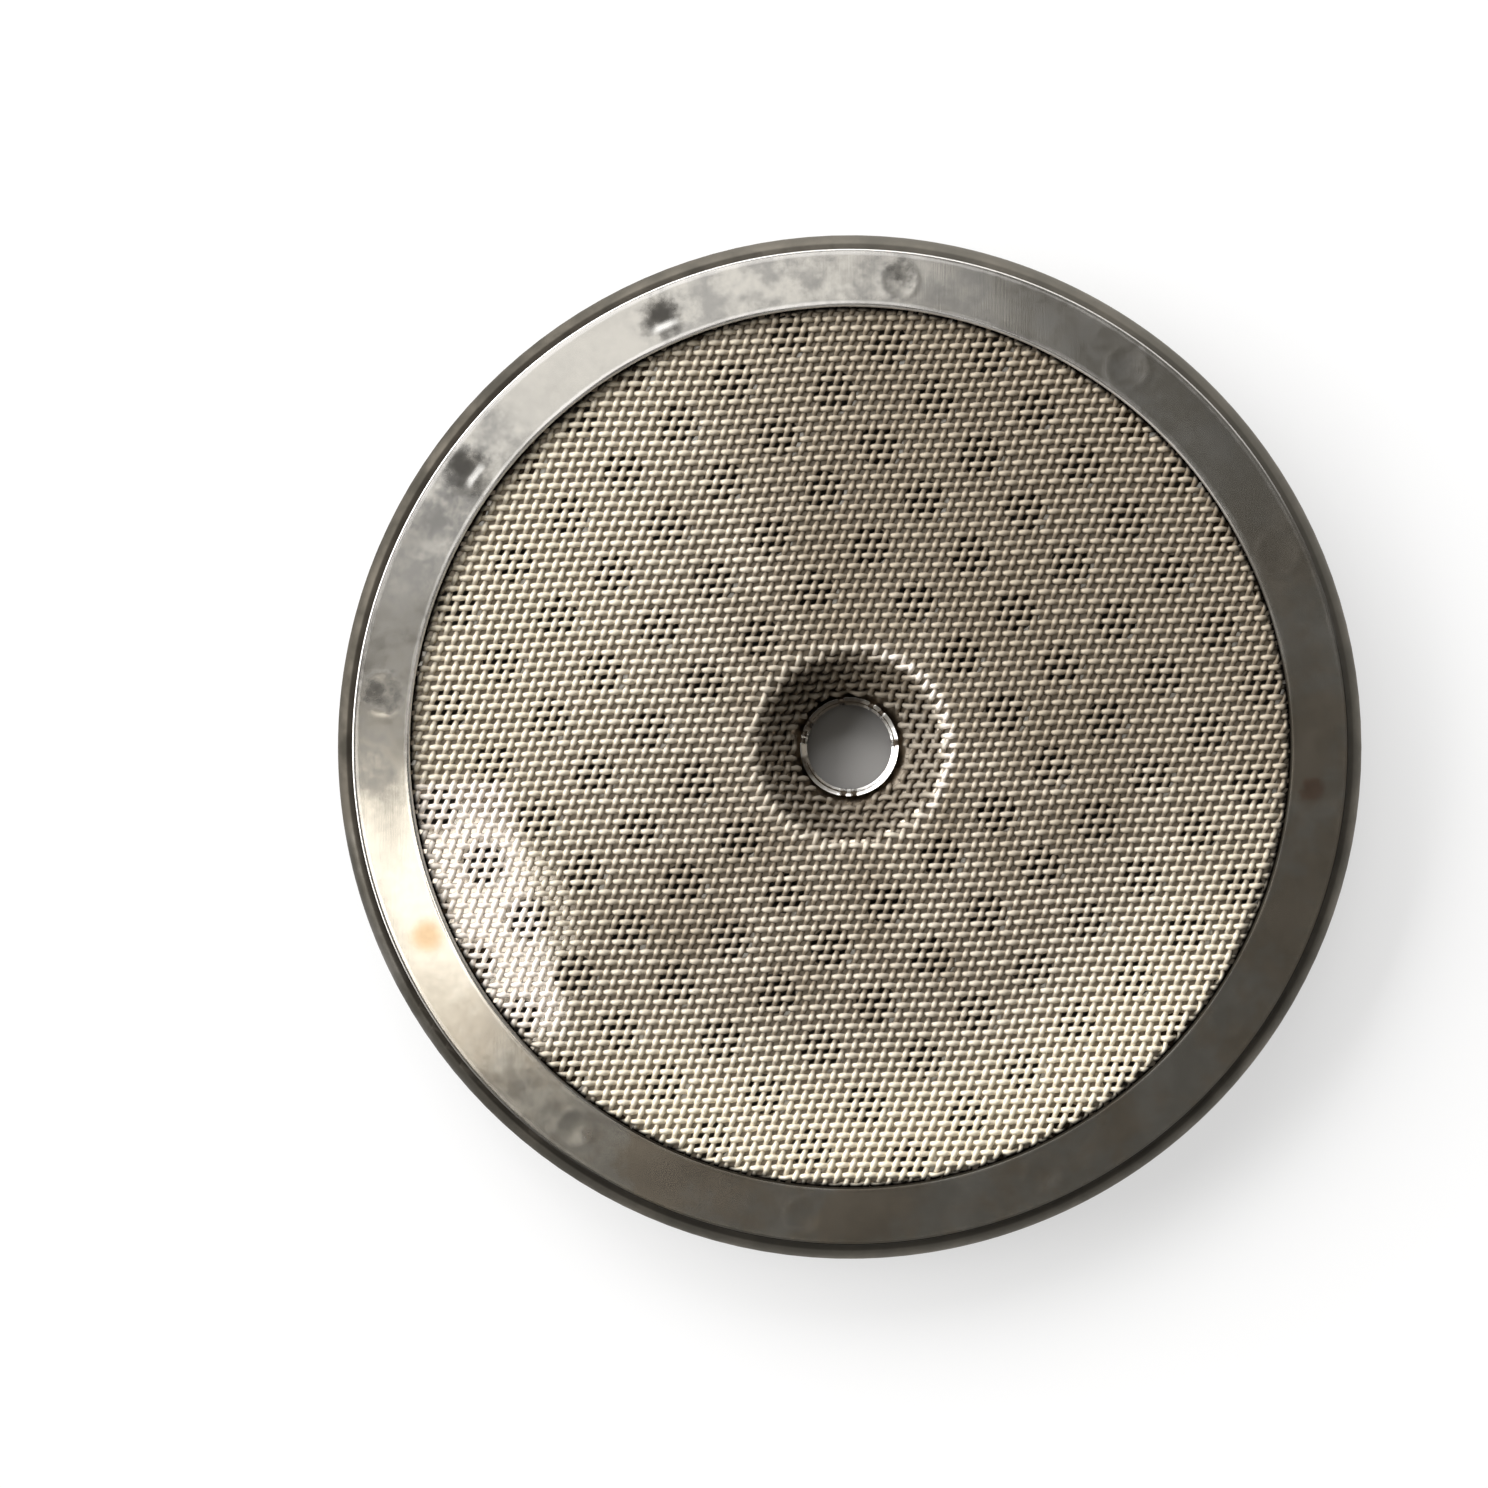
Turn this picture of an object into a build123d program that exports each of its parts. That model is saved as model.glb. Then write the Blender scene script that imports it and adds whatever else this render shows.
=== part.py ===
from build123d import *
import math
import os

# Shower screen for the brew group of an espresso machine, all sizes in millimetres.
# Z = 0 is the free edge of the dish's wall, which seats against the group, and +Z points to
# the wire cloth, the side that faces the coffee. The bore's axis is the Z axis.

# Dish: one pressed sheet, with a perforated plate, a turned-down wall and a countersunk seat
dish_diameter = 57.5
sheet_thickness = 0.6
shoulder_radius = 1.0       # outside of the bend between plate and wall
sharpest_bend = 0.1         # least radius on either face of any bend

# Countersunk seat: a cone pressed into the plate, ending in a short drawn collar
bore_diameter = 5.0         # clearance for an M5 thread
seat_diameter = 10.6        # where the cone would meet the plate's face without its bend
seat_angle = 90.0           # full angle of the cone, for a countersunk head
seat_bend_radius = 1.0      # outside of the bend between plate and cone
collar_length = 0.85        # from the end of the cone to the collar's free edge
collar_setback = 0.35       # the collar stops this far short of the dish's free edge
lip_width = 0.28            # the bore's edge is turned up inside the cut edge of the cloth
lip_height = 0.75           # above the end of the cone
lip_edge_radius = 0.12

# Perforation: round holes on a square grid, with one grid point on the bore's axis
hole_diameter = 2.2
hole_pitch = 4.0
hole_grid_angle = 39.5      # from the X axis
hole_field_setback = 0.6    # last hole centres lie this far inside the clamp ring's opening
hole_web = 0.8              # least metal between a hole and the seat's bend

# Clamp ring: punched flat, laid over the edge of the cloth and spot-welded through it
ring_setback = 0.95         # from the outside of the dish's wall
ring_width = 3.1
ring_thickness = 0.5
ring_edge_radius = 0.12     # rolled-over edges of the punched side
weld_count = 12
weld_start_angle = 24.0     # from the X axis
weld_diameter = 1.2         # metal fused between ring and plate
weld_dent_diameter = 1.8    # mark left by the electrode
weld_dent_depth = 0.14

# Wire cloth: plain weave. The solid keeps its thickness, its two wire directions and its
# over and under pattern, with each ridge standing for a handful of wires
cloth_thickness = 0.56      # two wires of 0.28 on top of each other
cloth_setback = 0.6         # from the outside of the clamp ring
cloth_bore_clearance = 0.35 # from the bore to the cut edge of the cloth
weld_clearance = 0.1        # around each weld where it passes through the cloth
warp_angle = 1.4            # direction of one set of wires, from the X axis
weft_angle = 69.6           # direction of the other set, not square to the first
ridge_pitch = 3.5           # across the ridges, the same for both sets
ridge_width = 1.7
ridge_height = 0.34
ridge_side_angle = 38.0      # slope of a ridge's two sides
ridge_reach = 1.2           # length of a ridge, counted in steps from crossing to crossing
gap_width = 1.6             # across each four-sided gap, from ridge to ridge
weave_recess = 0.36         # the woven field lies this far below the clamped edge
weave_setback = 0.2         # the field runs this far under the ring
gap_margin = 0.3            # least web between a gap and the edge of the field

# Places worked out from the sizes above
dish_radius = dish_diameter / 2
bore_radius = bore_diameter / 2
seat_radius = seat_diameter / 2
seat_depth = (seat_radius - bore_radius) / math.tan(math.radians(seat_angle / 2))
throat_z = collar_setback + collar_length
plate_z = throat_z + seat_depth
seat_bend_reach = seat_bend_radius * math.tan(math.radians(90 - seat_angle / 2) / 2)
seat_edge_radius = seat_radius + seat_bend_reach
ring_z = plate_z + cloth_thickness
ring_outer_radius = dish_radius - ring_setback
ring_inner_radius = ring_outer_radius - ring_width
weld_circle_radius = (ring_outer_radius + ring_inner_radius) / 2
cloth_radius = ring_outer_radius - cloth_setback
cloth_bore_radius = bore_radius + cloth_bore_clearance
weave_step = ridge_pitch / math.sin(math.radians(weft_angle - warp_angle))
cutter_length = 2 * ring_z  # passes right through the screen from its plate


def parallel_line(corners, distance):
    """Corners of the line that runs beside a bent line, at a distance to its right."""
    runs = [(end - start).normalized() for start, end in zip(corners, corners[1:])]
    sides = [Vector(run.Y, -run.X) for run in runs]
    moved = [corners[0] + sides[0] * distance]
    for corner, before, after in zip(corners[1:-1], sides, sides[1:]):
        moved.append(corner + (before + after) * (distance / (1 + before.dot(after))))
    return moved + [corners[-1] + sides[-1] * distance]


def bent_section(corners, bend_radii, thickness):
    """Section of a bent sheet, from one face's corners and its bends, with the sheet to the right."""
    other_corners = parallel_line(corners, thickness)
    other_radii = [max(radius - thickness, sharpest_bend) for radius in bend_radii]
    face_line = FilletPolyline(*corners, radius=bend_radii)
    other_line = FilletPolyline(*other_corners, radius=other_radii)
    ends = [Line(corners[0], other_corners[0]), Line(corners[-1], other_corners[-1])]
    return Plane.XZ * make_face([*face_line.edges(), *other_line.edges(), *ends])


def hole_places():
    """Grid points of the perforation that are clear of the seat and inside the ring's opening."""
    farthest = ring_inner_radius - hole_field_setback
    nearest = seat_edge_radius + hole_web + hole_diameter / 2
    count = 2 * int(farthest / hole_pitch) + 1
    grid = [Rot(0, 0, hole_grid_angle) * place
            for place in GridLocations(hole_pitch, hole_pitch, count, count)]
    return [place for place in grid
            if nearest <= place.position.length <= farthest]


def build_lip():
    """The turned-up edge of the bore, which keeps what passes through off the cut wires."""
    foot_z = throat_z - sharpest_bend
    lip = Circle(bore_radius + lip_width) - Circle(bore_radius)
    lip = extrude(Pos(0, 0, foot_z) * lip, lip_height + sharpest_bend)
    return fillet(lip.edges().group_by(Axis.Z)[-1], lip_edge_radius)


def build_dish():
    """The pressed dish: collar, seat, plate and wall in one revolved sheet, then the holes."""
    outside = [
        Vector(bore_radius, collar_setback),
        Vector(bore_radius, throat_z),
        Vector(seat_radius, plate_z),
        Vector(dish_radius, plate_z),
        Vector(dish_radius, 0),
    ]
    bends = [sharpest_bend, seat_bend_radius, shoulder_radius]
    dish = revolve(bent_section(outside, bends, sheet_thickness), Axis.Z) + build_lip()
    punch = Pos(0, 0, plate_z) * Cylinder(hole_diameter / 2, cutter_length)
    return dish - [place * punch for place in hole_places()]


def weld_places(z):
    """Where the welds stand around the ring, at one height."""
    circle = PolarLocations(weld_circle_radius, weld_count, weld_start_angle)
    return [Pos(0, 0, z) * place for place in circle]


def build_clamp_ring():
    """The flat ring with an electrode mark above each weld and the fused metal below it."""
    blank = Circle(ring_outer_radius) - Circle(ring_inner_radius)
    ring = extrude(Pos(0, 0, ring_z) * blank, ring_thickness)
    top_edges = ring.edges().group_by(Axis.Z)[-1]
    ring = fillet(top_edges, ring_edge_radius)
    dent_radius = (weld_dent_diameter ** 2 / 4 + weld_dent_depth ** 2) / (2 * weld_dent_depth)
    dent_z = ring_z + ring_thickness + dent_radius - weld_dent_depth
    ring -= [place * Sphere(dent_radius) for place in weld_places(dent_z)]
    weld = Cylinder(weld_diameter / 2, cloth_thickness)
    return ring + [place * weld for place in weld_places((plate_z + ring_z) / 2)]


def weave_point(along_warp, along_weft):
    """A point of the weave, counted in crossings along each set of wires."""
    warp = Vector(1, 0).rotate(Axis.Z, warp_angle) * (weave_step * along_warp)
    weft = Vector(1, 0).rotate(Axis.Z, weft_angle) * (weave_step * along_weft)
    return warp + weft


def ridges(z):
    """The stretches of wire that lie on top: along the warp and the weft by turns."""
    section = Trapezoid(ridge_width, ridge_height, ridge_side_angle)
    section = Plane.YZ * Pos(0, ridge_height / 2) * section
    ridge = extrude(section, ridge_reach * weave_step / 2, both=True)
    reach = math.ceil(cloth_radius / ridge_pitch)
    placed = []
    for i in range(-reach, reach + 1):
        for j in range(-reach, reach + 1):
            point = weave_point(i, j)
            if point.length < cloth_radius:
                angle = warp_angle if (i + j) % 2 == 0 else weft_angle
                placed.append(Pos(point.X, point.Y, z) * Rot(0, 0, angle) * ridge)
    return placed


def gaps(z, inner_radius, outer_radius):
    """Four-sided openings between the ridges that fit inside a ring-shaped field."""
    half = gap_width / ridge_pitch / 2
    corners = [weave_point(i * half, j * half) for i, j in ((-1, -1), (1, -1), (1, 1), (-1, 1))]
    reach = max(corner.length for corner in corners) + gap_margin
    gap = extrude(make_face(Polyline(*corners, close=True)), cloth_thickness, both=True)
    count = math.ceil(outer_radius / ridge_pitch)
    placed = []
    for i in range(-count, count):
        for j in range(-count, count):
            point = weave_point(i + 0.5, j + 0.5)
            if inner_radius + reach <= point.length <= outer_radius - reach:
                placed.append(Pos(point.X, point.Y, z) * gap)
    return placed


def build_wire_cloth():
    """The cloth: a wall that follows the plate and the seat, with ridges and gaps in its field."""
    slope = Vector(seat_radius - bore_radius, seat_depth)
    top_of_plate = [
        Vector(seat_radius, plate_z) - slope,
        Vector(seat_radius, plate_z),
        Vector(cloth_radius, plate_z),
    ]
    cloth = revolve(bent_section(top_of_plate, [seat_bend_radius], -cloth_thickness), Axis.Z)
    cloth -= Pos(0, 0, plate_z) * Cylinder(cloth_bore_radius, cutter_length)
    weld_hole = Cylinder(weld_diameter / 2 + weld_clearance, cutter_length)
    cloth -= [place * weld_hole for place in weld_places(plate_z)]

    field_inner = seat_edge_radius + weave_setback
    field_outer = ring_inner_radius + weave_setback
    floor_z = ring_z - weave_recess
    field = extrude(Circle(field_outer) - Circle(field_inner), weave_recess)
    field = Pos(0, 0, floor_z) * field
    cloth -= field
    cloth += [field & ridge for ridge in ridges(floor_z)]
    return cloth - gaps(floor_z, field_inner, field_outer)


nodes = {
    "dish": build_dish(),
    "wire_cloth": build_wire_cloth(),
    "clamp_ring": build_clamp_ring(),
}

os.makedirs("parts", exist_ok=True)
for name, solid in nodes.items():
    export_step(solid, os.path.join("parts", name + ".step"))
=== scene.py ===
import math

import bpy
import numpy as np
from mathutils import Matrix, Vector


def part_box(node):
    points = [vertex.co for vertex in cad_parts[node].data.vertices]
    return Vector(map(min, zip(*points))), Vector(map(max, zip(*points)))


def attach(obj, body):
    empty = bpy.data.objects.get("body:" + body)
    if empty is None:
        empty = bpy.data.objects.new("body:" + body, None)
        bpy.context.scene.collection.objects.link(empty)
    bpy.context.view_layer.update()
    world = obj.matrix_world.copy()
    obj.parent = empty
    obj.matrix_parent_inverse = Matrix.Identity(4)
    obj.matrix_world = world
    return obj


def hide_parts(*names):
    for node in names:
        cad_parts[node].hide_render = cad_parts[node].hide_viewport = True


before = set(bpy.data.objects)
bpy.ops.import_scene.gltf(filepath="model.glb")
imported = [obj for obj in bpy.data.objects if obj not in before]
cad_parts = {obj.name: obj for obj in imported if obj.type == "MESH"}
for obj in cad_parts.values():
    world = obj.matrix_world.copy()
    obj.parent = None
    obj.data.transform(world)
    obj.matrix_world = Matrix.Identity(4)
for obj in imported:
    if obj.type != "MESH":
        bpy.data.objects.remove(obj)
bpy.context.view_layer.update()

# The dish: one round of stainless sheet, pierced with round holes and pressed into a shallow cup
# with a countersunk seat in its middle. It is the model's own solid. Coffee has left a brown film
# round the holes and has dulled the shoulder and the wall. Its holes, seat, bore, the groove by the
# ring and the left of its shoulder are painted dark as shade, and a patch at the lower left and one
# edge of each hole are painted light as reflections.
mm = 0.001
dish_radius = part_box("dish")[1].x / mm
plate_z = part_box("dish")[1].z / mm
shoulder_start = dish_radius - 1.0  # where the plate bends down into the wall
seat_radius = 5.3
bore_radius = 2.5
hole_radius = 1.1
hole_pitch = 4.0
hole_grid_angle = math.radians(39.5)
hole_field = (7.6, 25.2)            # the plate is pierced between these radii
hole_field_blur = 0.2
hole_rim = (hole_radius + 0.01, hole_radius + 0.04)
film_round_hole = (hole_radius + 0.35, hole_radius + 0.95)
glint_round_hole = (hole_radius + 0.22, hole_radius + 0.34)
glint_side = (0.35, -0.94)          # a painted glint on this side of each hole, along and across its grid
glint_distance = (0.85, 1.1)
reflection_patch = (-23.5, -11.5, 12.0) # where a reflection of the lamp is painted by leaving the film off, and how far that reaches
dull_shoulder = (shoulder_start - 0.25, shoulder_start + 0.15)
groove_end = (shoulder_start + 0.38, shoulder_start + 0.52)
shoulder_shade_fades = (-28.0, 14.0)         # painted shade, from the left, where the shoulder is darkest, to the right
bore_edge = (bore_radius + 0.1, bore_radius + 0.3)
sheet_waves = 0.05                  # how high the sheet's slow waves are
sheet_grain = 0.0006
film_relief = 0.006
rolled_steel = (0.64, 0.60, 0.55)
scuffed_steel = (0.50, 0.465, 0.41)
coffee_film = (0.42, 0.35, 0.27)
# a dark brown, painted as shade in the holes, seat, bore, lip and the wires in the seat
painted_deep_shade = (0.055, 0.04, 0.028)
painted_hole_glint = (0.95, 0.92, 0.86)
dulled_steel = (0.235, 0.220, 0.190)
shaded_shoulder_steel = (0.078, 0.071, 0.058)
groove_shade = (0.022, 0.018, 0.014)


class Reading:
    """A value read off a surface, which can be used in ordinary sums."""

    def __init__(self, look, socket):
        self.look = look
        self.socket = socket

    def __add__(self, other):
        return self.look.maths("ADD", self, other)

    def __radd__(self, other):
        return self.look.maths("ADD", other, self)

    def __sub__(self, other):
        return self.look.maths("SUBTRACT", self, other)

    def __rsub__(self, other):
        return self.look.maths("SUBTRACT", other, self)

    def __mul__(self, other):
        return self.look.maths("MULTIPLY", self, other)

    def __rmul__(self, other):
        return self.look.maths("MULTIPLY", other, self)


class Look:
    """The shader nodes of a material or of the room, with a short word for each kind of sum."""

    def __init__(self, tree):
        self.nodes = tree.nodes
        self.links = tree.links

    def node(self, kind, settings, values, output=0):
        """Any node: its type, its settings, then the values or links of its sockets."""
        made = self.nodes.new(kind)
        for name, setting in settings.items():
            setattr(made, name, setting)
        for name, value in values.items():
            self.fill(made.inputs[name], value)
        return Reading(self, made.outputs[output])

    def fill(self, socket, value):
        """Links a reading to a socket, or sets the socket to a number or a colour."""
        if isinstance(value, Reading):
            self.links.new(value.socket, socket)
        elif socket.type == "RGBA":
            socket.default_value = (*value, 1.0)
        else:
            socket.default_value = value

    def maths(self, operation, *values):
        """One step of a sum, on readings and numbers."""
        return self.node("ShaderNodeMath", {"operation": operation}, dict(enumerate(values)))

    def length(self, across, along):
        """How long a way is that goes so far across and so far along."""
        return self.maths("SQRT", across * across + along * along)

    def fade(self, value, start, end):
        """0 at start and 1 at end, with a soft change between them."""
        values = {"Value": value, "From Min": start, "From Max": end}
        return self.node("ShaderNodeMapRange", {"interpolation_type": "SMOOTHSTEP"}, values)

    def mixed(self, mask, under, over):
        """One colour over another."""
        settings = {"data_type": "RGBA"}
        return self.node("ShaderNodeMix", settings, {0: mask, 6: under, 7: over}, 2)


class Finish(Look):
    """The finish of a piece: bare metal, until more is laid over it."""

    def __init__(self, name):
        self.material = bpy.data.materials.new(name)
        self.material.use_nodes = True
        super().__init__(self.material.node_tree)
        self.surface = self.nodes["Principled BSDF"]
        self.surface.inputs["Metallic"].default_value = 1.0
        place = self.node("ShaderNodeTexCoord", {}, {}, "Object")
        scale_up = {"operation": "SCALE"}
        self.place = self.node("ShaderNodeVectorMath", scale_up, {0: place, "Scale": 1 / mm})
        self.x = self.node("ShaderNodeSeparateXYZ", {}, {0: self.place}, "X")
        self.y = self.node("ShaderNodeSeparateXYZ", {}, {0: self.place}, "Y")
        self.radius = self.length(self.x, self.y)

    def towards(self, x, y):
        """How many millimetres a point lies from the axis in this direction."""
        return self.x * x + self.y * y

    def sweep(self, x, y, start, end):
        """0 at start and 1 at end, these distances from the axis in this direction."""
        return self.fade(self.towards(x, y), start, end)

    def near(self, x, y, reach):
        """1 at a point of the piece, falling to 0 at this distance from it."""
        return 1.0 - self.fade(self.length(self.x - x, self.y - y), 0.0, reach)

    def cloud(self, size, detail=3.0, shift=0.0, stretch=(1.0, 1.0, 1.0)):
        """Unevenness from 0 to 1 in patches about this many millimetres wide."""
        settings = {"vector_type": "POINT"}
        values = {"Vector": self.place, "Location": (shift, shift, 0.0), "Scale": stretch}
        place = self.node("ShaderNodeMapping", settings, values)
        values = {"Vector": place, "Scale": 1 / size, "Detail": detail, "Roughness": 0.55}
        return self.node("ShaderNodeTexNoise", {}, values)

    def mark(self, name):
        """The value that the mesh carries under this name at each of its points."""
        return self.node("ShaderNodeAttribute", {"attribute_name": name}, {}, "Fac")

    def uneven(self, height, depth, normal=None):
        """The surface pressed in or out by height, 0 to 1, times this many millimetres."""
        values = {"Strength": 1.0, "Distance": depth * mm, "Height": height}
        if normal:
            values["Normal"] = normal
        return self.node("ShaderNodeBump", {}, values)

    def give(self, **values):
        """Sets the surface's colour, roughness, normal and the like, and gives the material."""
        for name, value in values.items():
            self.fill(self.surface.inputs[name.replace("_", " ")], value)
        return self.material


def rolled_sheet():
    """Bright rolled sheet with film round its holes, a dull shoulder, painted shade in its holes, seat,
    bore, groove and on its shoulder's left, and painted reflections.
    """
    sheet = Finish("rolled_sheet")
    cosine, sine = math.cos(hole_grid_angle), math.sin(hole_grid_angle)
    along = sheet.towards(cosine, sine) * (1 / hole_pitch)
    across = sheet.towards(-sine, cosine) * (1 / hole_pitch)
    along = along - sheet.maths("ROUND", along)
    across = across - sheet.maths("ROUND", across)
    from_hole = sheet.length(along, across) * hole_pitch
    first, last = hole_field
    pierced = sheet.fade(sheet.radius, first, first + hole_field_blur)
    pierced = pierced * (1.0 - sheet.fade(sheet.radius, last - hole_field_blur, last))
    inside_hole = 1.0 - sheet.fade(from_hole, *hole_rim)

    patchy = sheet.cloud(2.3, detail=5.0)
    broad = sheet.cloud(9.0, detail=4.0, shift=40.0)
    ring_of_film = 1.0 - sheet.fade(from_hole + patchy * 0.8, *film_round_hole)
    # painted reflection: the film is left off where the ceiling lamp shows in the plate
    painted_reflection = sheet.near(*reflection_patch)
    general = 0.78 + 0.18 * sheet.fade(broad * 0.6 + patchy * 0.4, 0.42, 0.62)
    general = general * (1.0 - sheet.fade(painted_reflection + (broad - 0.5) * 0.2, 0.15, 0.3))
    film_and_painted_light = sheet.maths("MAXIMUM", ring_of_film * pierced * 0.6, general)

    outside = sheet.fade(sheet.radius, *dull_shoulder)
    dulling = outside * (0.86 + 0.14 * sheet.fade(patchy, 0.3, 0.65))
    groove = outside * (1.0 - sheet.fade(sheet.radius, *groove_end))
    shoulder_shade = 1.0 - sheet.fade(sheet.x, *shoulder_shade_fades)
    # painted shade: the seat darker in patches, and the bore darker still
    seat = 1.0 - sheet.fade(sheet.radius, bore_radius + 0.5, seat_radius)
    soot_and_shade = seat * sheet.fade(sheet.cloud(0.8, detail=4.0, shift=9.0), 0.42, 0.62)
    bore = 1.0 - sheet.fade(sheet.radius, *bore_edge)
    soot_and_shade = sheet.maths("MAXIMUM", soot_and_shade * 0.6, bore * 0.9)
    # a painted glint on one edge of each hole
    glint = (along * glint_side[0] + across * glint_side[1]) * hole_pitch
    glint = sheet.fade(glint, *glint_distance) * pierced
    glint = glint * (1.0 - sheet.fade(from_hole, *glint_round_hole))

    colour = sheet.mixed(sheet.fade(patchy, 0.3, 0.7) * 0.35, rolled_steel, scuffed_steel)
    colour = sheet.mixed(film_and_painted_light, colour, coffee_film)
    colour = sheet.mixed(glint, colour, painted_hole_glint)
    # painted shade inside each hole
    colour = sheet.mixed(inside_hole * pierced, colour, painted_deep_shade)
    # the shoulder is painted darker to the left, as shade
    colour = sheet.mixed(dulling, colour, sheet.mixed(shoulder_shade, dulled_steel, shaded_shoulder_steel))
    # painted shade in the groove by the ring's outer edge, deeper to the left
    colour = sheet.mixed(groove * (0.35 + 0.45 * shoulder_shade), colour, groove_shade)
    colour = sheet.mixed(soot_and_shade, colour, painted_deep_shade)
    roughness = 0.07 + 0.04 * patchy + film_and_painted_light * 0.3 + dulling * 0.42 + bore * 0.3

    normal = sheet.uneven(sheet.cloud(13.0, detail=0.0, shift=17.0), sheet_waves)
    grain = sheet.cloud(0.12, detail=2.0, stretch=(1.0, 0.05, 1.0))
    normal = sheet.uneven(grain, sheet_grain, normal)
    normal = sheet.uneven(film_and_painted_light * patchy, film_relief, normal)
    return sheet.give(Base_Color=colour, Roughness=roughness, Normal=normal)


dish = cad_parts["dish"]
dish.data.materials.clear()
dish.data.materials.append(rolled_sheet())


# The wire cloth: plain weave of drawn stainless wire, its two sets of wires not square to each
# other. It is cut round, pressed into the seat with the plate and calendered, which has left the
# wires a little broader on their crowns. Its edge is held under the ring.
wire_diameter = 0.28
crown_spread = 0.34                 # how much broader a wire is on its crowns
warp_crimp = 0.14                   # how far each set of wires swings to either side
weft_crimp = wire_diameter - warp_crimp
wire_pitch = 0.5576
warp_angle = math.radians(1.4)
weft_angle = math.radians(69.6)
steps_per_crossing = 3
shortest_end = 3                    # steps: a shorter end of wire has fallen out
wire_corners = np.radians([20, 48, 90, 142, 218, 270, 312, 340])
uneven_spacing = 0.012              # how far a wire is out of its place, and how far its cut ends are
uneven_cut = 0.07
long_wander = 0.05                  # how far the whole weave wanders, in long and in short waves
short_wander = 0.03
cloth_radius = 27.1
seat_bend_start = 5.946             # where the cloth's middle leaves the flat
seat_bend_radius = 1.28
seat_slope = math.radians(45)
stretch = 1.22                      # of the cloth down the slope of the seat
bore_cut_radius = 3.1               # of the cloth's middle, at its cut edge round the bore
cloth_middle_z = plate_z + wire_diameter
swell_height = 0.30                 # the cloth rises to the ring at its lower right
swell_angle = math.radians(-48)
swell_start = 16.5
swell_top = 24.2
ring_opening = 24.6
warp_film_and_shade = (1.2, -0.25)            # coffee film and painted shade on a wire's sides and down its slopes: both lie between the rows, which are the warp wires
weft_film_and_shade = (0.7, 0.58)             # between the rows, which are the warp wires
reflection_patch_faces = (0.971, 0.241)  # the painted reflection at the lower left reaches up to an edge that faces this way, and lies between its top and its foot
reflection_patch_side = (-19.5, -18.0)   # this way, and between its top and its foot
reflection_patch_top = (-2.4, -1.5)
reflection_patch_foot = (-17.5, -14.5)
upper_right_shade_side = (0.6, 0.8, -6.0, 20.0) # painted shade on the upper right: a direction, and the distances between which it sets in
# painted light on the side towards the window lamp
window_side = (-0.94, 0.35, 4.0, 20.0)
lower_right = (1.0, -1.0, -8.0, 12.0)
lit_ridge_side = (0.94, 0.34, 1.0, 5.0)
outer_cloth = (14.0, 22.0)          # these are radii, from and to
seat_floor = (seat_bend_start - 1.1, seat_bend_start - 0.5)
ridge_inside = (seat_bend_start - 0.9, seat_bend_start - 0.45)
ridge_outside = (seat_bend_start - 0.35, seat_bend_start + 0.1)
ring_crevice = (24.3, 24.55)
# a light colour, painted as light on the wires
painted_lit_wire = (0.92, 0.865, 0.74)
painted_glare_wire = (0.96, 0.91, 0.85)
drawn_wire = (0.71, 0.655, 0.565)
dulled_wire = (0.54, 0.48, 0.39)
# the colour of old film, which also stands in as painted shade down in the weave
old_film_and_shade = (0.31, 0.258, 0.195)
crevice_shade = (0.012, 0.009, 0.007)

wire_radius = wire_diameter / 2
crossing_step = wire_pitch / math.sin(weft_angle - warp_angle)
bend_length = seat_bend_radius * seat_slope
bend_end = seat_bend_start - seat_bend_radius * math.sin(seat_slope)
pressed_length = bend_length + (bend_end - bore_cut_radius) / math.cos(seat_slope)
cut_before_pressing = seat_bend_start - pressed_length / stretch
chance = np.random.default_rng(7)


def smooth(value, start, end):
    """0 at start and 1 at end, with a soft change between them, for the shapes."""
    share = np.clip((value - start) / (end - start), 0.0, 1.0)
    return share * share * (3 - 2 * share)


def swell(x, y):
    """How far the cloth stands off the plate near the ring."""
    radius = np.hypot(x, y)
    side = 0.5 + 0.5 * np.cos(np.arctan2(y, x) - swell_angle)
    rise = np.clip((radius - swell_start) / (swell_top - swell_start), 0.0, 1.0) ** 2
    return swell_height * side * rise * (1 - smooth(radius, swell_top, ring_opening))


def pressed(flat):
    """Where points of the flat cloth lie after pressing, and the way out of its face there."""
    flat_radius = np.hypot(flat[:, 0], flat[:, 1])
    outward = flat / np.maximum(flat_radius, 1e-6)[:, None]
    drawn_in = np.clip(seat_bend_start - flat_radius, 0.0, None) * stretch
    bent = np.minimum(drawn_in, bend_length)
    straight = drawn_in - bent
    tilt = bent / seat_bend_radius
    inward = seat_bend_radius * np.sin(tilt) + straight * math.cos(seat_slope)
    drop = seat_bend_radius * (1 - np.cos(tilt)) + straight * math.sin(seat_slope)
    radius = flat_radius + drawn_in / stretch - inward
    x, y = (outward * radius[:, None]).T
    rise = swell(x, y)
    step = 0.05
    slope_x = (swell(x + step, y) - rise) / step
    slope_y = (swell(x, y + step) - rise) / step
    middle = np.stack([x, y, cloth_middle_z - drop + rise], axis=1)
    face = np.stack([-np.sin(tilt) * outward[:, 0] - slope_x,
                     -np.sin(tilt) * outward[:, 1] - slope_y, np.cos(tilt)], axis=1)
    return middle, face / np.linalg.norm(face, axis=1)[:, None]


def wandering(flat):
    """The slight, slow unevenness of a real weave, shared by both sets of wires."""
    x, y = flat.T
    aside_x = long_wander * np.sin(0.23 * x + 0.11 * y + 1.0) + short_wander * np.sin(0.55 * y)
    aside_y = long_wander * np.sin(0.19 * y - 0.13 * x) + short_wander * np.sin(0.47 * x + 2.0)
    return flat + np.stack([aside_x, aside_y], axis=1)


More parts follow.
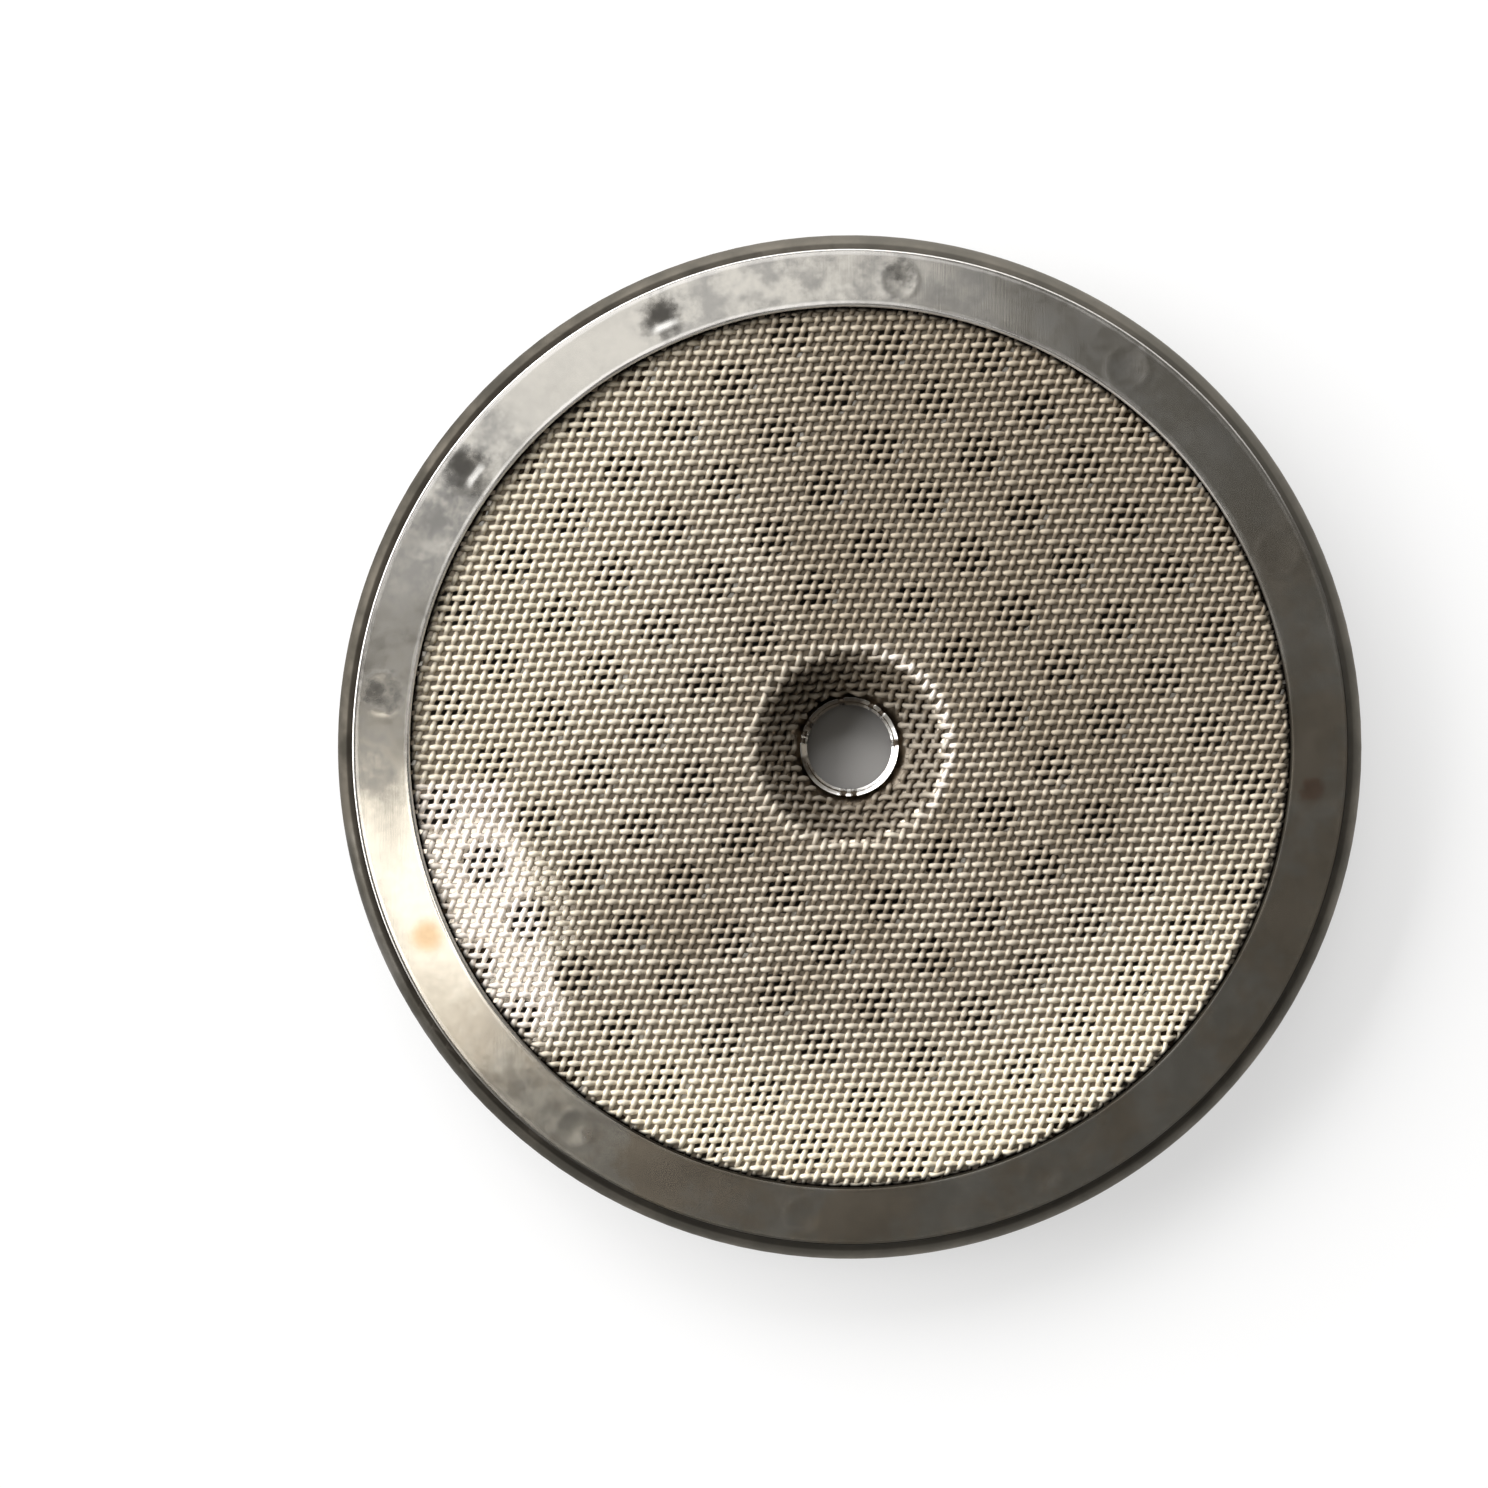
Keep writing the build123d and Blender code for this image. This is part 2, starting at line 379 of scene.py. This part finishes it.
def wire(flat, swing, crimp, film_and_painted_light):
    """Corners of one wire's rings along flat points, and how much film and painted shade each corner
    carries.
    """
    middle, face = pressed(wandering(flat))
    line = middle + face * swing[:, None]
    forward = np.gradient(line, axis=0)
    forward /= np.linalg.norm(forward, axis=1)[:, None]
    side = np.cross(forward, face)
    side /= np.linalg.norm(side, axis=1)[:, None]
    up = np.cross(side, forward)
    crown = np.clip(swing / crimp, 0.0, 1.0)
    sideways = np.sin(wire_corners)[None, :, None] * side[:, None, :]
    upwards = np.cos(wire_corners)[None, :, None] * up[:, None, :]
    broader = 1 + crown_spread * crown[:, None, None] ** 2
    corners = line[:, None, :] + (sideways * broader + upwards) * wire_radius
    height = np.einsum("ijk,ik->ij", corners - middle[:, None, :], face)
    highest = weft_crimp + wire_radius
    side_film_and_shade, slope_film_and_shade = film_and_painted_light
    depth = side_film_and_shade * (0.5 - np.clip(height / highest, -1.0, 1.0) / 2)
    depth += slope_film_and_shade * (1 - crown ** 2)[:, None]
    return corners, depth


def wire_faces(first, rings):
    """Faces of a wire with closed ends, whose rings of corners are numbered from first on."""
    sides = len(wire_corners)
    last = first + (rings - 1) * sides
    faces = [(low + k, low + (k + 1) % sides, low + sides + (k + 1) % sides, low + sides + k)
             for low in range(first, last, sides) for k in range(sides)]
    return faces + [tuple(reversed(range(first, first + sides))), tuple(range(last, last + sides))]


def woven(name, along, across, crimp, film_and_painted_light, wires):
    """One piece of the cloth: these wires of one set, woven over and under the other set."""
    points, faces, depths = [], [], []
    longest = math.ceil(cloth_radius / wire_pitch) + 2
    places = np.arange(-longest * steps_per_crossing, longest * steps_per_crossing + 1)
    places = places / steps_per_crossing
    for number in wires:
        own_shift = chance.normal(0.0, uneven_spacing)
        edge = chance.normal(0.0, uneven_cut, 2)
        flat = crossing_step * (places[:, None] * along + number * across) + own_shift * across
        radius = np.hypot(flat[:, 0], flat[:, 1])
        cut_radius = cut_before_pressing + np.where(places < 0, *edge)
        inside = (radius < cloth_radius) & (radius > cut_radius)
        swing = crimp * np.cos(math.pi * (places + number))
        turning_points = np.flatnonzero(np.diff(np.concatenate([[0], inside.astype(int), [0]])))
        for start, end in zip(turning_points[::2], turning_points[1::2]):
            if end - start < shortest_end:
                continue
            corners, depth = wire(flat[start:end], swing[start:end], abs(crimp), film_and_painted_light)
            faces += wire_faces(len(points) * len(wire_corners), end - start)
            points.extend(corners)
            depths.append(depth.ravel())
    return meshed(name, np.concatenate(points), faces, {"depth": np.concatenate(depths)})


def meshed(name, points, faces, marks):
    """A smooth mesh piece from points in millimetres, with a value of each mark at each point."""
    mesh = bpy.data.meshes.new(name)
    mesh.from_pydata((points * mm).tolist(), [], faces)
    for mark, values in marks.items():
        mesh.attributes.new(mark, "FLOAT", "POINT").data.foreach_set("value", values)
    mesh.shade_smooth()
    piece = bpy.data.objects.new(name, mesh)
    bpy.context.scene.collection.objects.link(piece)
    return piece


def filmed_wire():
    """Bright drawn wire, with old coffee film and painted shade down between the wires, specks of film,
    and painted light and shade on some sides.
    """
    bright = Finish("drawn_wire")
    depth = bright.mark("depth")
    patch = bright.cloud(3.1, detail=5.0)
    speck = bright.cloud(0.5, detail=3.0, shift=30.0)
    # painted reflection at the lower left: lighter wires and lighter film there
    painted_reflection = 1.0 - bright.fade(bright.towards(*reflection_patch_faces) + patch * 0.8, *reflection_patch_side)
    painted_reflection = painted_reflection * (1.0 - bright.fade(bright.y, *reflection_patch_top))
    painted_reflection = painted_reflection * bright.fade(bright.y, *reflection_patch_foot)
    # painted shade on the upper right: more film and duller wires there
    upper_right_shade = bright.sweep(*upper_right_shade_side)
    # painted light: the outer cloth at the lower right and the side towards the window are lighter, with
    # less film
    rim_highlight = bright.fade(bright.radius, *outer_cloth) * bright.sweep(*lower_right) * (1.0 - upper_right_shade)
    window = bright.sweep(*window_side) * (1.0 - upper_right_shade * 0.4)
    painted_light = bright.maths("MAXIMUM", painted_reflection, rim_highlight)
    painted_light = bright.maths("MAXIMUM", painted_light, window * 0.75)
    # coffee film and painted shade, darker further down in the weave
    down = bright.fade(depth + (patch - 0.5) * 0.2 + upper_right_shade * 0.06 - painted_light * 0.1, 0.14, 0.54)
    film_and_painted_light = down * (0.95 - painted_light * 0.7)
    film_and_painted_light = bright.maths("MAXIMUM", film_and_painted_light, bright.fade(speck, 0.63, 0.70) * 0.3)
    # painted shade in the seat: darker wires with more film
    seated = 1.0 - bright.fade(bright.radius, *seat_floor)
    # painted highlight on the seat's ridge, with less film there and brightest on its right
    ridge = bright.fade(bright.radius, *ridge_inside)
    ridge = ridge * (1.0 - bright.fade(bright.radius, *ridge_outside))
    film_and_painted_light = bright.maths("MAXIMUM", film_and_painted_light * (1.0 - ridge * 0.7), seated * (0.22 + down * 0.6))
    # patchy dull wires, more of them in the painted shade and fewer in the painted light
    dull_and_shade = bright.fade(patch + upper_right_shade * 0.42 - painted_light * 0.4 - ridge, 0.35, 0.75)
    ridge_highlight = ridge * bright.sweep(*lit_ridge_side)

    colour = bright.mixed(dull_and_shade, drawn_wire, dulled_wire)
    colour = bright.mixed(rim_highlight, colour, painted_lit_wire)
    colour = bright.mixed(window * 0.7, colour, painted_lit_wire)
    colour = bright.mixed(ridge_highlight, colour, painted_glare_wire)
    colour = bright.mixed(film_and_painted_light, colour, bright.mixed(painted_reflection * 0.7, old_film_and_shade, painted_lit_wire))
    colour = bright.mixed(painted_reflection, colour, painted_glare_wire)
    colour = bright.mixed(seated * 0.3, colour, painted_deep_shade)
    # painted shade in the crevice by the ring's inner edge
    colour = bright.mixed(bright.fade(bright.radius, *ring_crevice), colour, crevice_shade)
    return bright.give(Base_Color=colour, Roughness=0.78 + film_and_painted_light * 0.05)


wire_finish = filmed_wire()
warp_line = np.array([math.cos(warp_angle), math.sin(warp_angle)])
weft_line = np.array([math.cos(weft_angle), math.sin(weft_angle)])
wires_each_side = math.ceil(cloth_radius / wire_pitch)
lower_half = range(-wires_each_side, 0)
upper_half = range(0, wires_each_side + 1)
cloth_pieces = [
    woven("warp_wires_lower", warp_line, weft_line, warp_crimp, warp_film_and_shade, lower_half),
    woven("warp_wires_upper", warp_line, weft_line, warp_crimp, warp_film_and_shade, upper_half),
    woven("weft_wires_left", weft_line, warp_line, -weft_crimp, weft_film_and_shade, lower_half),
    woven("weft_wires_right", weft_line, warp_line, -weft_crimp, weft_film_and_shade, upper_half),
]
for piece in cloth_pieces:
    piece.data.materials.append(wire_finish)
    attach(piece, "root")
    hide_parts("wire_cloth")


# The clamp ring: punched from flat stainless strip, so that its upper edges are rolled over, laid
# on the cloth and joined by twelve spot welds. They leave shallow dents with soot round them, of
# which one is tinted orange instead and two have a bright dash, a painted glint. The strip is
# burnished and smudged; its lower right is tarnished and painted darker as shade, highlights are
# painted along its rolled edges elsewhere, and it is left unsmudged where lamps show in it, as
# painted reflections.
ring_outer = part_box("clamp_ring")[1].x / mm
ring_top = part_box("clamp_ring")[1].z / mm
ring_width = 3.2
ring_thickness = 0.5
ring_edge = 0.08
ring_turns = 1440
edge_points = 5                     # of the section, along each rolled edge and across the face
face_points = 24
ring_waves = 0.004                  # how far its face is from flat, without the welds
weld_circle = ring_outer - ring_width / 2
weld_angles = np.radians(24.0 + 30.0 * np.arange(12))
weld_radius = 1.0
weld_depth = 0.012
weld_burr = 0.003
weld_scatter = 0.12                 # how far a weld is out of its place, in mm and in radians
weld_turn = 0.004
weld_sizes = (0.85, 1.1)            # shares of the radius and of the depth, from and to
weld_depths = (0.2, 1.0)
burr_place = 1.1                    # these lengths are counted in weld radii
burr_width = 0.2
mark_reach = 3.0
inner_soot_reach = 1.5
inner_soot = 0.7
sooty_side = math.radians(138)
least_soot = 0.2                    # on the welds opposite
soot_offset = 0.4                   # from a weld's centre outwards, and how far the soot reaches
soot_reach = 1.05
dash_offset = 0.45                  # from a weld's centre inwards, and half the dash's two sizes
dash_half_width = 0.21
dash_half_length = 0.76
dash_side = 0.45                    # radians: welds this near the sooty side have a dash
tinted_weld = math.radians(204)
tint_place = (weld_circle * math.cos(tinted_weld) + 0.3, weld_circle * math.sin(tinted_weld) + 0.1)
tint_reach = 1.7
reflection_left = (-24.5, -11.0, 12.0)   # places where a painted reflection leaves it unsmudged, where it is smudged or rusty, and their reach
reflection_top = (-15.6, 21.4, 7.0)
smudged_place = (-22.8, 13.4, 5.0)
rust_spot = (25.8, -2.4, 1.6)
tarnish_and_shade_side = (0.55, -0.85)           # tarnish and painted shade: it faces this way, and sets in between these distances
tarnish_and_shade_distances = (-7.0, 13.0)
tarnish_and_shade_raggedness = 14.0
rim_highlight_band = (ring_width / 2 - 0.38, ring_width / 2 - 0.24)
dark_corner = (ring_width / 2 - 0.10, ring_width / 2 - 0.06)
strip_waves = 0.009
strip_scratches = 0.0005
strip_steel = (0.66, 0.63, 0.575)
smudged_steel = (0.44, 0.43, 0.41)
rim_highlight_colour = (0.90, 0.87, 0.83)
shaded_tarnish = (0.41, 0.395, 0.36)
shaded_brown_tarnish = (0.34, 0.285, 0.215)
dark_ring_edge = (0.03, 0.026, 0.02)
weld_soot = (0.10, 0.093, 0.083)
glint_dash_colour = (1.0, 0.98, 0.94)
heat_tint = (0.50, 0.33, 0.17)
rust = (0.26, 0.10, 0.055)


def ring_section():
    """The ring's section, as radius, height, and 1 on its top face or 0 elsewhere."""
    inner = ring_outer - ring_width
    under = ring_top - ring_thickness
    bend = np.radians(np.linspace(0, 90, edge_points))
    top_face = np.linspace(inner + ring_edge, ring_outer - ring_edge, face_points)[1:-1]
    section = [(inner, under, 0)]
    section += [(inner + ring_edge * (1 - math.cos(a)), ring_top - ring_edge * (1 - math.sin(a)), 0)
                for a in bend]
    section += [(r, ring_top, 1) for r in top_face]
    section += [(ring_outer - ring_edge * (1 - math.sin(a)), ring_top - ring_edge * (1 - math.cos(a)), 0)
                for a in bend]
    return np.array(section + [(ring_outer, under, 0)])


def weld_mark(x, y, radius, place):
    """What one weld does to the points of the ring: its height, its soot and its bright dash, a painted
    glint.
    """
    centre_radius = weld_circle + chance.normal(0.0, weld_scatter)
    centre_angle = place + chance.normal(0.0, weld_turn)
    size = weld_radius * chance.uniform(*weld_sizes)
    cosine, sine = math.cos(centre_angle), math.sin(centre_angle)
    away = np.hypot(x - centre_radius * cosine, y - centre_radius * sine) / size
    dent = weld_depth * chance.uniform(*weld_depths) * np.clip(1 - away ** 2, 0, 1) ** 2
    burr = weld_burr * np.exp(-((away - burr_place) / burr_width) ** 2)
    sooty = not math.isclose(place, tinted_weld)
    near_by = away < mark_reach
    sideways = y * cosine - x * sine
    outward = radius - centre_radius
    from_soot = np.hypot(outward - soot_offset, sideways)
    halo = near_by * np.exp(-(from_soot / soot_reach) ** 2)
    halo = np.maximum(halo, inner_soot * np.exp(-(away / inner_soot_reach) ** 4))
    facing = 0.5 + 0.5 * math.cos(place - sooty_side)
    dark = least_soot + (1 - least_soot) * facing ** 2
    across = (outward + dash_offset) / dash_half_width
    along = sideways / dash_half_length
    glint_dash = near_by * np.exp(-across ** 4 - along ** 4) * (abs(place - sooty_side) < dash_side)
    return (burr - dent) * sooty, dark * halo * sooty, glint_dash


def turned_faces(turns, corners):
    """Faces of a section with so many corners, turned all the way round in so many steps."""
    return [(turn * corners + k, (turn + 1) % turns * corners + k,
             (turn + 1) % turns * corners + (k + 1) % corners, turn * corners + (k + 1) % corners)
            for turn in range(turns) for k in range(corners)]


def punched_ring():
    """The ring, with a dent and a low burr at each weld and the faint waves of its own flatness."""
    section = ring_section()
    angle = np.linspace(0, 2 * math.pi, ring_turns, endpoint=False)[:, None]
    radius, height, on_top = (column[None, :] for column in section.T)
    x, y = radius * np.cos(angle), radius * np.sin(angle)
    z = np.repeat(height, ring_turns, axis=0) - weld_burr
    soot_and_shade = np.zeros_like(x)
    glint_dash = np.zeros_like(x)
    for place in weld_angles:
        raised, sooted, dashed = weld_mark(x, y, radius, place)
        z += on_top * raised
        soot_and_shade = np.maximum(soot_and_shade, sooted)
        glint_dash = np.maximum(glint_dash, on_top * dashed)
    waves = ring_waves * np.sin(17 * angle + 2 * np.sin(3 * angle)) * np.sin(radius * 1.7)
    z += on_top * (waves - ring_waves)
    points = np.stack([x, y, z], axis=2).reshape(-1, 3)
    faces = turned_faces(ring_turns, len(section))
    return meshed("punched_clamp_ring", points, faces, {"soot_and_shade": soot_and_shade.ravel(), "glint_dash": glint_dash.ravel()})


def burnished_strip():
    """Burnished strip with smudges, weld soot, one heat tint and a spot of rust, painted glints as
    bright dashes, painted highlights on its edges, tarnish with painted shade on its lower right, and
    painted reflections.
    """
    strip = Finish("burnished_strip")
    cloudy = strip.cloud(2.6, detail=6.0)
    broad = strip.cloud(8.0, detail=3.0, shift=25.0)
    fine = strip.cloud(0.45, detail=4.0, shift=60.0)
    mottled = strip.cloud(1.1, detail=5.0, shift=11.0)
    smudge = strip.fade(cloudy * 0.45 + mottled * 0.4 + fine * 0.15, 0.40, 0.62)
    # painted reflections of the lamps: no smudges where they show in the ring
    smudge = smudge * (1.0 - 0.9 * strip.fade(strip.near(*reflection_left), 0.05, 0.4))
    smudge = smudge * (1.0 - 0.8 * strip.fade(strip.near(*reflection_top), 0.1, 0.5))
    smudge = smudge + strip.near(*smudged_place) * strip.fade(mottled, 0.35, 0.6) * 0.6
    # tarnish and painted shade on the lower right of the ring
    tarnish_and_shade = strip.towards(*tarnish_and_shade_side) + (broad - 0.5) * tarnish_and_shade_raggedness
    tarnish_and_shade = strip.fade(tarnish_and_shade, *tarnish_and_shade_distances)
    soot_and_shade = strip.mark("soot_and_shade") + (fine - 0.5) * 0.5 + (mottled - 0.5) * 0.8
    soot_and_shade = strip.fade(soot_and_shade, 0.22, 1.0)
    glint_dash = strip.mark("glint_dash")
    off_middle = strip.maths("ABSOLUTE", strip.radius - weld_circle)
    # painted highlights along the rolled edges, except on the lower right
    rim_highlight = strip.fade(off_middle + (fine - 0.5) * 0.15, *rim_highlight_band) * (1.0 - tarnish_and_shade)
    corner = strip.fade(off_middle, *dark_corner)
    tint = strip.near(*tint_place, tint_reach) + (mottled - 0.5) * 0.25
    tint = strip.fade(tint, 0.05, 0.95)
    rusty = strip.fade(strip.near(*rust_spot) + (fine - 0.5) * 0.8, 0.45, 0.8)
    brown = strip.fade(broad * 0.6 + mottled * 0.4, 0.42, 0.6)

    colour = strip.mixed(smudge * 0.7, strip_steel, smudged_steel)
    colour = strip.mixed(tarnish_and_shade * 0.75, colour, strip.mixed(brown, shaded_tarnish, shaded_brown_tarnish))
    colour = strip.mixed(soot_and_shade * (1.0 - tint) * 0.8, colour, weld_soot)
    colour = strip.mixed(tint * 0.75, colour, heat_tint)
    # painted glint: a bright dash by two welds
    colour = strip.mixed(glint_dash, colour, glint_dash_colour)
    colour = strip.mixed(rim_highlight * 0.9, colour, rim_highlight_colour)
    # the rolled edges are darker on the lower right
    colour = strip.mixed(corner * tarnish_and_shade, colour, dark_ring_edge)
    colour = strip.mixed(rusty * 0.4, colour, rust)
    roughness = 0.09 + smudge * 0.07 + soot_and_shade * 0.2 + tarnish_and_shade * 0.08 + fine * 0.03 + corner * 0.35
    roughness = roughness * (1.0 - glint_dash * 0.6)

    normal = strip.uneven(strip.cloud(5.0, detail=1.0, shift=80.0), strip_waves)
    scratch = strip.cloud(0.09, detail=2.0, stretch=(1.0, 0.04, 1.0))
    normal = strip.uneven(scratch, strip_scratches, normal)
    return strip.give(Base_Color=colour, Roughness=roughness, Normal=normal)


ring = punched_ring()
ring.data.materials.append(burnished_strip())
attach(ring, "root")
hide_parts("clamp_ring")


# The bore's lip: the plate's edge, turned up through the cloth, where it has split in places and
# has been rolled over and polished by use. It stands on the plain lip of the dish. Its upper left
# is painted dark as shade.
lip_top = 2.12
lip_foot = 1.25
lip_inner = 2.38
lip_outer = 2.87
lip_edge = 0.03                     # rounding of its top edges
lip_lean = 0.28                     # its top slopes down to the bore by this much
lip_outer_foot = 1.55
lip_turns = 360
lip_splits = np.radians([-84, -97, 172, 163, 150, 100, 62, 47, 5])
split_width = 0.05                  # radians, at the rim
split_drop = (0.25, 0.12)           # how much lower and narrower the lip is where it has split
ragged_drop = (0.06, 0.16)          # and where it is merely ragged
shaded_lip_side = (-0.8, 0.6)            # painted shade: it faces this way, and sets in between these distances
shaded_lip_distances = (1.6, 3.0)
shaded_lip_raggedness = 3.0
unshaded_left = (-2.7, 0.2, 1.1)    # a place on the shaded side left without painted shade, and its reach
lip_relief = 0.04
polished_steel = (0.92, 0.90, 0.86)


def lip_section(high, outer):
    """Radius and height round the lip's section, up inside the bore, over its top and down."""
    middle = (lip_inner + outer) / 2
    inside = high - lip_lean
    return [
        (lip_inner, lip_foot),
        (lip_inner, inside - lip_edge),
        (lip_inner + lip_edge / 3, inside - lip_edge / 3),
        (lip_inner + lip_edge, inside),
        (lip_inner + lip_edge * 2, high - lip_lean * 0.91),
        (middle, high - lip_lean * 0.48),
        (outer - lip_edge * 2, high - lip_lean * 0.06),
        (outer - lip_edge, high),
        (outer - lip_edge / 3, high),
        (outer, high - lip_edge * 2 / 3),
        (outer, lip_outer_foot),
    ]


def rolled_lip():
    """The lip as a band round the bore, lower and narrower where it has split."""
    angle = np.linspace(0, 2 * math.pi, lip_turns, endpoint=False)
    whole = np.ones(lip_turns)
    for place in lip_splits:
        away = np.abs((angle - place + math.pi) % (2 * math.pi) - math.pi)
        whole *= smooth(away, split_width * 0.3, split_width * 1.3)
    ragged = sum(chance.uniform(0.2, 1.0) / n * np.sin(n * angle + chance.uniform(0, 6.28))
                 for n in (2, 3, 5, 8, 13, 21, 34))
    ragged = 0.5 + 0.25 * ragged
    top = lip_top - ragged_drop[0] * ragged - split_drop[0] * (1 - whole)
    outer = lip_outer - ragged_drop[1] * (1 - ragged) - split_drop[1] * (1 - whole)
    sections = [lip_section(*sizes) for sizes in zip(top, outer)]
    points = [(r * math.cos(a), r * math.sin(a), z)
              for a, section in zip(angle, sections) for r, z in section]
    return meshed("bore_lip", np.array(points), turned_faces(lip_turns, len(sections[0])), {})


def polished_edge():
    """Worn and polished metal, painted dark as shade on its upper left, and with a few dark pits."""
    edge = Finish("polished_edge")
    pits = edge.fade(edge.cloud(0.35, detail=4.0), 0.60, 0.72)
    # painted shade on the lip's upper left
    lip_shade = edge.towards(*shaded_lip_side) + edge.cloud(0.7, shift=3.0) * shaded_lip_raggedness
    lip_shade = edge.fade(lip_shade, *shaded_lip_distances)
    lip_shade = lip_shade * (1.0 - edge.fade(edge.near(*unshaded_left), 0.1, 0.4))
    colour = edge.mixed(pits * 0.7, polished_steel, weld_soot)
    colour = edge.mixed(lip_shade * 0.85, colour, painted_deep_shade)
    normal = edge.uneven(edge.cloud(0.6, detail=2.0, shift=5.0), lip_relief)
    return edge.give(Base_Color=colour, Roughness=0.32 + pits * 0.1, Normal=normal)


lip = rolled_lip()
lip.data.materials.append(polished_edge())
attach(lip, "root")


# The table: plain matt white, which the camera sees lighter than it is lit, so that the screen's
# shadow stays light. Under the screen it is darker, so that the bore shows grey.
table_reach = 1200.0                # to each side
shaded_edge = (dish_radius - 3.0, dish_radius)
shadow_lift = 0.6
table_white = (0.95, 0.95, 0.95)
shaded_white = (0.42, 0.41, 0.40)
sheer_white = (1.0, 1.0, 1.0)


def white_table():
    """Plain white, with a light shadow round the screen and full shade under it."""
    table = Finish("white_table")
    open_table = table.fade(table.radius, *shaded_edge)
    colour = table.mixed(open_table, shaded_white, table_white)
    camera, gloss, glass = (table.node("ShaderNodeLightPath", {}, {}, ray)
                            for ray in ("Is Camera Ray", "Is Glossy Ray", "Is Transmission Ray"))
    seen = table.maths("MAXIMUM", table.maths("MAXIMUM", camera, gloss), glass)
    white = table.node("ShaderNodeEmission", {}, {"Color": sheer_white, "Strength": 1.0})
    painted = Reading(table, table.surface.outputs["BSDF"])
    lifted = seen * open_table * shadow_lift
    shown = table.node("ShaderNodeMixShader", {}, {0: lifted, 1: painted, 2: white})
    table.fill(table.nodes["Material Output"].inputs["Surface"], shown)
    return table.give(Base_Color=colour, Metallic=0.0, Roughness=0.9, Specular_IOR_Level=0.0)


table_corners = np.array([(-1, -1, 0), (1, -1, 0), (1, 1, 0), (-1, 1, 0)]) * table_reach
table_top = meshed("table_top", table_corners, [(0, 1, 2, 3)], {})
table_top.data.materials.append(white_table())


# The light, in metres: a wide window to the left, a skylight behind, two small lamps nearly
# overhead that show in the flat metal, and a dim room with a pale band at table height.
daylight = (1.0, 1.0, 1.0)
warm_light = (1.0, 0.95, 0.86)
pale_wall = (0.85, 0.84, 0.82)
dim_room = (0.12, 0.116, 0.107)
wall_ends = (0.03, 0.17)            # the band fades out between these, where 1 is straight up


def soft_lamp(name, place, aim, size, glow, colour):
    """A flat lamp with this width and length, as bright as glow times a white sheet."""
    data = bpy.data.lights.new(name, "AREA")
    data.shape = "RECTANGLE"
    data.size, data.size_y = size
    data.energy = glow * math.pi * size[0] * size[1]
    data.color = colour
    lamp = bpy.data.objects.new(name, data)
    lamp.location = place
    lamp.rotation_euler = (Vector(aim) - Vector(place)).to_track_quat("-Z", "Y").to_euler()
    bpy.context.scene.collection.objects.link(lamp)


soft_lamp("window", (-1.22, 0.49, 0.73), aim=(0, 0, 0), size=(2.0, 0.85), glow=8.2, colour=daylight)
soft_lamp("skylight", (-0.15, 1.00, 0.78), aim=(0, 0, 0), size=(1.0, 0.6), glow=4.8, colour=daylight)
soft_lamp("ceiling_panel", (-0.065, 0.13, 0.90), aim=(-0.065, 0.13, 0), size=(0.20, 0.18), glow=1.0,
          colour=daylight)
soft_lamp("ceiling_lamp", (-0.0432, -0.0236, 0.354), aim=(-0.0432, -0.0236, 0), size=(0.0245, 0.040),
          glow=2.3, colour=warm_light)

world = bpy.data.worlds.new("room")
bpy.context.scene.world = world
world.use_nodes = True
room = Look(world.node_tree)
direction = room.node("ShaderNodeTexCoord", {}, {}, "Generated")
height = room.node("ShaderNodeSeparateXYZ", {}, {0: direction}, "Z")
walls = room.mixed(room.fade(height, *wall_ends), pale_wall, dim_room)
room.fill(room.nodes["Background"].inputs["Color"], walls)

# The camera: it looks straight down on the middle of the frame, from 300 mm above the plate, so
# that the screen lies where it does in the photograph and at the same size.
photo_size = 1488
pixels_per_mm = 17.86
disc_centre_pixel = (850, 747)
camera_distance = 300
sensor_width = 36.0

camera_data = bpy.data.cameras.new("camera")
camera_data.sensor_width = sensor_width
camera_data.lens = sensor_width * camera_distance * pixels_per_mm / photo_size
camera = bpy.data.objects.new("camera", camera_data)
camera.location = ((photo_size / 2 - disc_centre_pixel[0]) / pixels_per_mm * mm,
                   (disc_centre_pixel[1] - photo_size / 2) / pixels_per_mm * mm,
                   (plate_z + camera_distance) * mm)
bpy.context.scene.collection.objects.link(camera)
bpy.context.scene.camera = camera
bpy.context.scene.view_settings.view_transform = "Standard"
